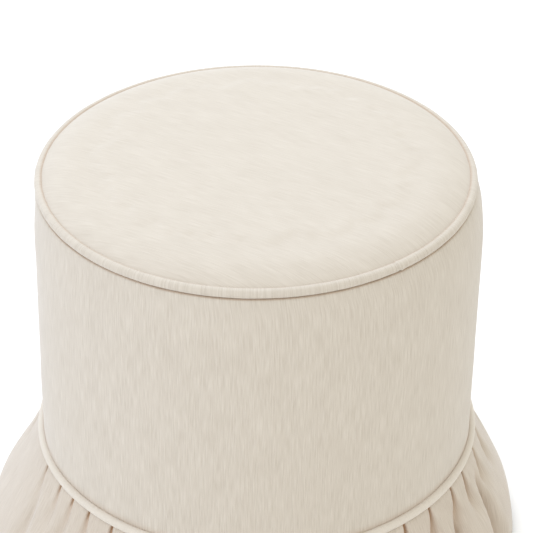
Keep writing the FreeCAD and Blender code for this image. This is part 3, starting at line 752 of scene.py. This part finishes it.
def strip_places(knots):
    """Places along the skirt's strip, as shares of its length, closest together at the gathers."""
    ends = np.append(knots, knots[0] + 1)
    even = np.arange(FOLD_COLUMNS) / FOLD_COLUMNS
    crowded = even - FOLD_CROWDING * np.sin(math.tau * even) / math.tau
    return (ends[:-1, None] + np.diff(ends)[:, None] * crowded).ravel()


def gathered(places, knots, valley, flank, wall):
    """Where the places of a gathered strip lie: their azimuths as shares of a turn, and their rise from 0 in
    a valley to 1 on a ridge. On each side of a gather, lengths of the cloth make half of the valley and the
    fold's flank, the flank leans by an angle, and the cloth that is left over lies flat on the ridge."""
    ends = np.append(knots, knots[0] + 1)
    along = np.append(places, places[0] + 1)
    middles = (along[1:] + along[:-1]) / 2
    fold = np.searchsorted(ends, middles) - 1
    half = np.diff(ends)[fold] / 2
    side = ends[fold] + half - middles
    edge = half - np.abs(side)
    most = 0.4 * half
    dip = np.minimum(valley / sizes().strip_length, most)
    slant = np.minimum(flank / sizes().strip_length, half - dip)
    in_valley = np.sin(math.pi / 2 * np.clip(edge / dip, 0, 1))
    on_flank = np.cos(math.pi / 2 * np.clip((edge - dip) / slant, 0, 1))
    slope = wall * np.sign(side) * np.where(edge < dip, in_valley, on_flank)
    across = np.append(0, np.cumsum(np.cos(slope) * np.diff(along)))
    out = np.append(0, np.cumsum(np.sin(slope) * np.diff(along)))
    azimuths = np.interp(across, np.interp(ends, along, across), ends)
    ridges = np.interp((ends[1:] + ends[:-1]) / 2, along, out)
    return azimuths[:-1], out[:-1] / ridges[np.searchsorted(ends, places, side="right") - 1]


def skirt_face(share, places, turns, left_over, leans):
    """A row of the skirt's face at a share of the way down: points all round, at places along its strip, each
    with how much painted shade it gets. All gathers are slits under the piping. Further down the short folds
    run out, and the long ones lean and open."""
    gap = 0.0004
    slit_depth = 0.0015
    sway_reach = 0.003
    flare_reach = 0.013
    under_cord = 0.0012
    seam = TACK_FACE + sizes().velvet + gap
    lip = sizes().skirt_lip * (1 - math.exp(-share / 0.02))
    ridge = seam + lip + sizes().skirt_reach * math.sin(math.pi / 2 * share**1.25)
    depth = (ridge - seam) * (1 - 0.45 * ease(share)) + slit_depth * bell(share, 0.08)
    # Lengths of cloth in half a valley and in a flank, and the flank's angle in radians
    valley = 0.0034 + 0.0056 * share
    flank = 0.004 + 0.038 * share
    wall = 1.5 - 0.5 * ease(share / 0.25)
    # Short folds run out from 6% to 48% of the way down
    merged = ease((share - 0.06) / 0.42)
    runs_on = left_over > 0
    fine = gathered(places, turns, valley, flank, wall)
    broad = gathered(places, (turns + leans)[runs_on], valley, flank, wall)
    turn = math.tau * ((1 - merged) * fine[0] + merged * broad[0])
    deep = np.interp(places, turns[runs_on], left_over[runs_on], period=1)
    # From 2% to 10% of the way down a slit eases to the depth that its fold keeps
    slit = 1 - (1 - deep) * ease((share - 0.02) / 0.08)
    notch = (1 - merged) * slit * (1 - fine[1]) + merged * deep * (1 - broad[1])
    # A tenth of the brown over all the skirt makes it a little darker and warmer; the rest is painted shade,
    # deepest in the slits and fainter further down the valleys
    painted_shade = 0.1 + 0.9 * np.clip(notch, 0, 1) ** (1 + merged) * (1 - 0.28 * ease(share / 0.25))
    spots = np.stack((np.cos(turn), np.sin(turn), np.full(len(turn), share)), axis=1)
    sway = np.array([waver(spot, 0.3, 5.0) for spot in spots])
    # The skirt's left, at -X, stands out further
    flare = flare_reach * share**2 * ((1 - np.cos(turn)) / 2) ** 8
    radius = ridge - depth * notch + sway_reach * share * sway + flare
    # The hem rides up a little where the cloth is drawn in
    drawn_up = 0.12 * share * (ridge - radius)
    height = SKIRT_HEAD + under_cord - share * (SKIRT_HEAD - HEM) + drawn_up
    return np.stack((radius * np.cos(turn), radius * np.sin(turn), height, painted_shade), axis=1)


def inwards(row):
    """Unit normals of a row of points, level and towards the inside."""
    along = np.roll(row, -1, axis=0) - np.roll(row, 1, axis=0)
    level = np.zeros(len(row))
    normal = np.stack((-along[:, 1], along[:, 0], level, level), axis=1)
    return normal / np.linalg.norm(normal, axis=1)[:, None]


def skirt_rows(*cloth):
    """All rows of the skirt: down its face, round the hem's edge and up inside the hem."""
    steps = range(FACE_ROWS + 1)
    rows = [skirt_face((step / FACE_ROWS) ** ROW_CROWDING, *cloth) for step in steps]
    brim = rows[FACE_ROWS]
    air = 0.0003
    edge = 2 * sizes().velvet + air
    down = np.array((0.0, 0.0, -1.0, 0.0))
    for step in range(1, 4):
        turn = math.pi * step / 4
        round_edge = inwards(brim) * (1 - math.cos(turn)) + down * math.sin(turn)
        rows.append(brim + edge / 2 * round_edge)
    tall = SKIRT_HEAD - HEM
    for step in range(6):
        face = skirt_face(1 - sizes().hem / tall * step / 5, *cloth)
        rows.append(face + inwards(face) * edge)
    return rows


def make_skirt():
    """The gathered skirt: a strip of velvet pinched into the lower seam, opened out below and hemmed."""
    turns, left_over, leans = gathers()
    places = strip_places(turns)
    rows = skirt_rows(places, turns, left_over, leans)
    columns = len(places)
    shape = bmesh.new()
    bmesh.ops.create_cone(shape, cap_ends=False, segments=columns, radius1=1.0, radius2=1.0, depth=1.0)
    upright = [edge for edge in shape.edges if abs(edge.verts[0].co.z - edge.verts[1].co.z) > 0.5]
    bmesh.ops.subdivide_edges(shape, edges=upright, cuts=len(rows) - 2, use_grid_fill=True)
    shaded = shape.verts.layers.float.new(SHADE_PAINT)
    spots = {}
    for vertex in shape.verts:
        column = round(math.atan2(vertex.co.y, vertex.co.x) / math.tau * columns) % columns
        spots[vertex] = rows[round((0.5 - vertex.co.z) * (len(rows) - 1))][column]
        turn = math.tau * places[column]
        vertex.co = (math.cos(turn), math.sin(turn), vertex.co.z)
    wrap_uv(shape, sizes().strip_length, lambda point: point.z * sizes().strip_width)
    for vertex, spot in spots.items():
        vertex.co = spot[:3]
        vertex[shaded] = spot[3]
    skirt = add_piece(
        "skirt_ruffle", shape, [velvet(), backing()], ["skirt_strip_1", "skirt_strip_2"]
    )
    thicken(skirt, sizes().velvet, inner_material=1)


# Underside


def make_underside():
    """The thin sheet under the base, and the staples that hold it."""
    thin = 0.0006
    drop = 0.004
    unevenness = 0.0001
    flat = DUST_HIGH - thin
    step = SIDE - sizes().turn_under
    outline = [
        *run((0.0, flat), (step - drop, flat), 24),
        *run((step - drop, flat), (step, DUST_LOW), 3),
        *run((step, DUST_LOW), (DUST_EDGE, DUST_LOW), 5),
        (DUST_EDGE, DUST_LOW),
    ]
    shape = turned(outline, 240)
    if sum(face.normal.z for face in shape.faces) > 0:
        bmesh.ops.reverse_faces(shape, faces=shape.faces)
    for vertex in shape.verts:
        vertex.co.z += unevenness * waver(vertex.co, 0.02, 1.0)
    sheet = add_piece("dust_sheet", shape, [non_woven()], ["dust_cover"])
    thicken(sheet, thin)

    wire = 0.0005
    shape = bmesh.new()
    middle = (step + DUST_EDGE) / 2
    for number in range(sizes().staples):
        around = Matrix.Rotation(math.tau * number / sizes().staples, 4, "Z")
        place = Matrix.Translation((middle, 0.0, DUST_LOW - wire / 2))
        size = Matrix.Diagonal((2.4 * wire, sizes().staple, wire, 1.0))
        bmesh.ops.create_cube(shape, size=1.0, matrix=around @ place @ size)
    bmesh.ops.bevel(
        shape,
        geom=list(shape.edges),
        offset=wire / 4,
        offset_type="OFFSET",
        affect="EDGES",
        segments=1,
        profile=0.5,
        material=-1,
    )
    add_piece("dust_sheet_staples", shape, [zinc_steel()])


# Frame


def dress_frame():
    """Give each frame node that stays in place its material."""
    finishes = {
        birch_plywood(): ["base_board", "top_board"],
        pine(): [f"frame_post_{number}" for number in range(1, 5)],
        hardboard(): ["side_panel"],
        card(): ["tack_strip"],
        stained_beech(): [f"foot_{number}" for number in range(1, 5)],
        zinc_steel(): ["frame_screws", "foot_screws"],
    }
    for material, nodes in finishes.items():
        for node in nodes:
            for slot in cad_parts[node].material_slots:
                slot.material = material


# Stage


def make_stage():
    """A pale floor, soft light and the camera at the photograph's angle."""
    scene = bpy.context.scene
    shape = bmesh.new()
    bmesh.ops.create_circle(shape, cap_ends=True, segments=96, radius=8.0)
    mesh = bpy.data.meshes.new("floor")
    shape.to_mesh(mesh)
    shape.free()
    floor = bpy.data.objects.new("floor", mesh)
    scene.collection.objects.link(floor)
    # Matt studio paper: pale and even
    even = (1.0, 1.0, 1.0)
    paper = solid("studio_floor", colours().floor, colours().floor, even, 0.0001, Roughness=0.9)
    mesh.materials.append(paper)

    world = bpy.data.worlds.new("studio")
    world.use_nodes = True
    background = next(node for node in world.node_tree.nodes if node.type == "BACKGROUND")
    background.inputs["Color"].default_value = (1.0, 0.98, 0.91, 1.0)
    background.inputs["Strength"].default_value = 0.985
    scene.world = world
    aim = Vector((0.0, 0.0, 0.3))
    # Round lamps: name, place, width in metres, power in watts and tint
    for name, place, width, watts, tint in (
        ("key", (-0.5, -0.35, 3.3), 2.4, 20.0, (0.785, 0.85, 1.0)),
        ("window", (-2.6, -0.5, 1.2), 1.8, 12.0, (0.48, 0.64, 1.0)),
        ("front", (-1.2, -2.4, 2.2), 1.8, 10.0, (0.7, 0.76, 1.0)),
        ("back", (-0.3, 2.4, 2.8), 2.0, 54.0, (0.68, 0.8, 1.0)),
    ):
        light = bpy.data.lights.new(name, "AREA")
        light.shape = "DISK"
        light.size = width
        light.energy = watts
        light.color = tint
        lamp = bpy.data.objects.new(name, light)
        lamp.location = place
        lamp.rotation_euler = (aim - lamp.location).to_track_quat("-Z", "Y").to_euler()
        scene.collection.objects.link(lamp)

    lens = bpy.data.cameras.new("camera")
    lens.sensor_width = 36.0
    lens.lens = 36.0 * FOCAL_LENGTH / PICTURE_WIDTH
    camera = bpy.data.objects.new("camera", lens)
    # Place and angle were fitted to the two corded seams in the photograph
    camera.location = (0.0097, -1.8291, TOP_SEAM + 1.0942)
    camera.rotation_euler = (math.radians(90 - VIEW_DOWN), 0.0, 0.0)
    scene.collection.objects.link(camera)
    scene.camera = camera
    scene.view_settings.view_transform = "Standard"


# Add-on


class POUF_OT_seat(bpy.types.Operator):
    """Dress the seat in its velvet panel"""

    bl_idname = "pouf.seat"
    bl_label = "Seat"

    def execute(self, context):
        make_seat()
        return {"FINISHED"}


class POUF_OT_side(bpy.types.Operator):
    """Stretch the velvet round the side"""

    bl_idname = "pouf.side"
    bl_label = "Side"

    def execute(self, context):
        make_side()
        return {"FINISHED"}


class POUF_OT_pipings(bpy.types.Operator):
    """Sew the two corded seams"""

    bl_idname = "pouf.pipings"
    bl_label = "Pipings"

    def execute(self, context):
        make_piping("top_piping_cord", TOP_RING, TOP_SEAM, TOP_JOIN, velvet(), "top_piping")
        # The lower cord gets the paler velvet: painted light
        make_piping("lower_piping_cord", LOWER_RING, LOWER_SEAM, LOWER_JOIN, lit_cord_velvet(), "lower_piping")
        return {"FINISHED"}


class POUF_OT_skirt(bpy.types.Operator):
    """Gather the skirt into the lower seam"""

    bl_idname = "pouf.skirt"
    bl_label = "Skirt"

    def execute(self, context):
        make_skirt()
        return {"FINISHED"}


class POUF_OT_underside(bpy.types.Operator):
    """Staple the sheet under the base"""

    bl_idname = "pouf.underside"
    bl_label = "Underside"

    def execute(self, context):
        make_underside()
        return {"FINISHED"}


class POUF_OT_frame(bpy.types.Operator):
    """Finish the boards, posts, wall, feet and fasteners"""

    bl_idname = "pouf.frame"
    bl_label = "Frame"

    def execute(self, context):
        dress_frame()
        return {"FINISHED"}


class POUF_OT_stage(bpy.types.Operator):
    """Set up the floor, the light and the camera"""

    bl_idname = "pouf.stage"
    bl_label = "Stage"

    def execute(self, context):
        make_stage()
        return {"FINISHED"}


OPERATORS = (
    POUF_OT_seat,
    POUF_OT_side,
    POUF_OT_pipings,
    POUF_OT_skirt,
    POUF_OT_underside,
    POUF_OT_frame,
    POUF_OT_stage,
)


class POUF_PT_pieces(bpy.types.Panel):
    """The pouf's pieces, in the order that they are made"""

    bl_idname = "POUF_PT_pieces"
    bl_label = "Skirted Pouf"
    bl_space_type = "VIEW_3D"
    bl_region_type = "UI"
    bl_category = "Pouf"

    def draw(self, context):
        for operator in OPERATORS:
            self.layout.operator(operator.bl_idname)


CLASSES = (PoufSizes, PoufColours, *OPERATORS, POUF_PT_pieces)


def register():
    for item in CLASSES:
        bpy.utils.register_class(item)
    bpy.types.Scene.pouf_sizes = bpy.props.PointerProperty(type=PoufSizes)
    bpy.types.Scene.pouf_colours = bpy.props.PointerProperty(type=PoufColours)


def unregister():
    del bpy.types.Scene.pouf_colours
    del bpy.types.Scene.pouf_sizes
    for item in reversed(CLASSES):
        bpy.utils.unregister_class(item)


def main():
    register()
    bpy.ops.pouf.seat()
    bpy.ops.pouf.side()
    bpy.ops.pouf.pipings()
    bpy.ops.pouf.skirt()
    bpy.ops.pouf.underside()
    bpy.ops.pouf.frame()
    bpy.ops.pouf.stage()


if __name__ == "__main__":
    main()
